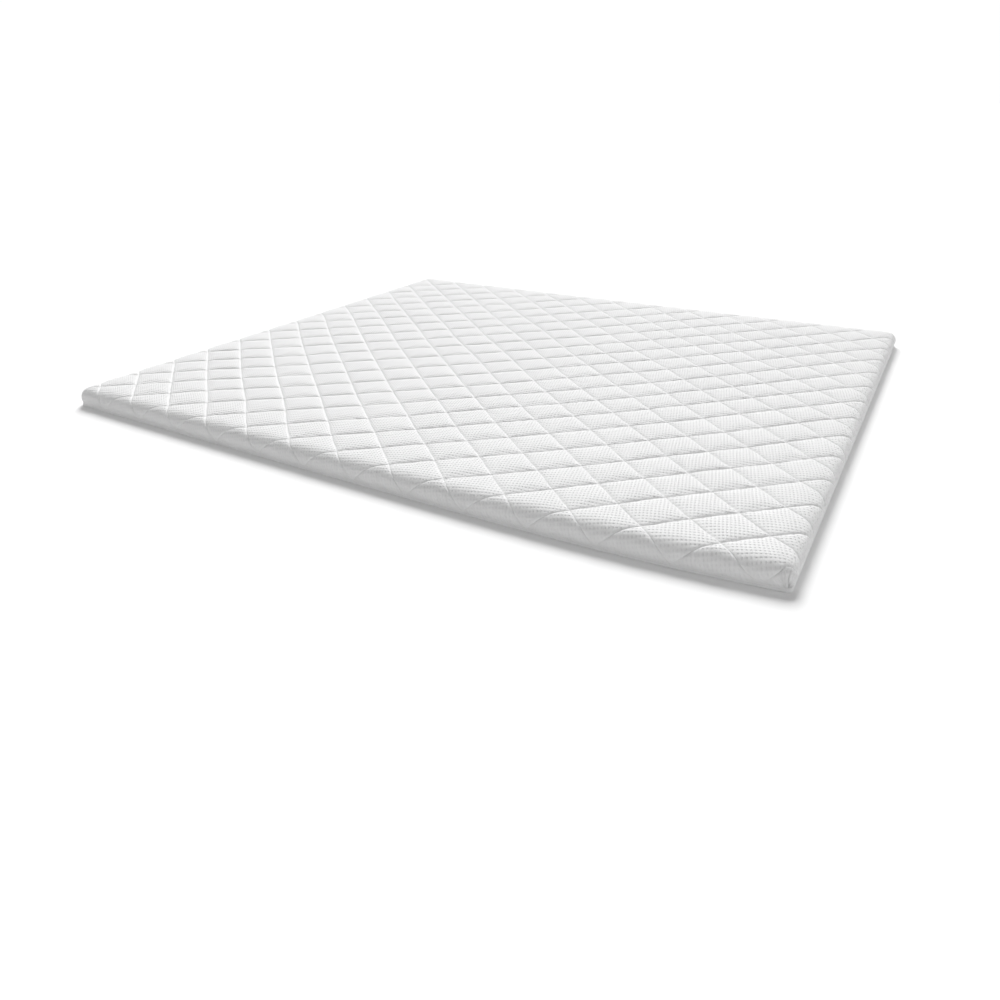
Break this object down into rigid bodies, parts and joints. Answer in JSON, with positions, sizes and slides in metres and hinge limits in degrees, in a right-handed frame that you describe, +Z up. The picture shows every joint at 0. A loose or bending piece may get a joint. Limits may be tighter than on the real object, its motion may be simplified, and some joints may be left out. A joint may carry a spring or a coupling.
{
  "type": "mattress topper",
  "caption": "Low rectangular mattress topper with a knitted cover quilted in diamonds, round shoulders, soft corners and a flat plain base panel.",
  "frame": {"origin": "middle of the underside, at floor height", "axes": "+X along the length, +Y across the width, +Z up through the thickness"},
  "size_m": [2.0096, 1.8053, 0.0567],
  "materials": {
    "quilted_knit": "matt white knit with small pores",
    "base_cloth": "matt plain white cloth"
  },
  "bodies": {
    "root": {"quilted_topper": "quilted_knit", "base_panel": "base_cloth"}
  },
  "joints": []
}
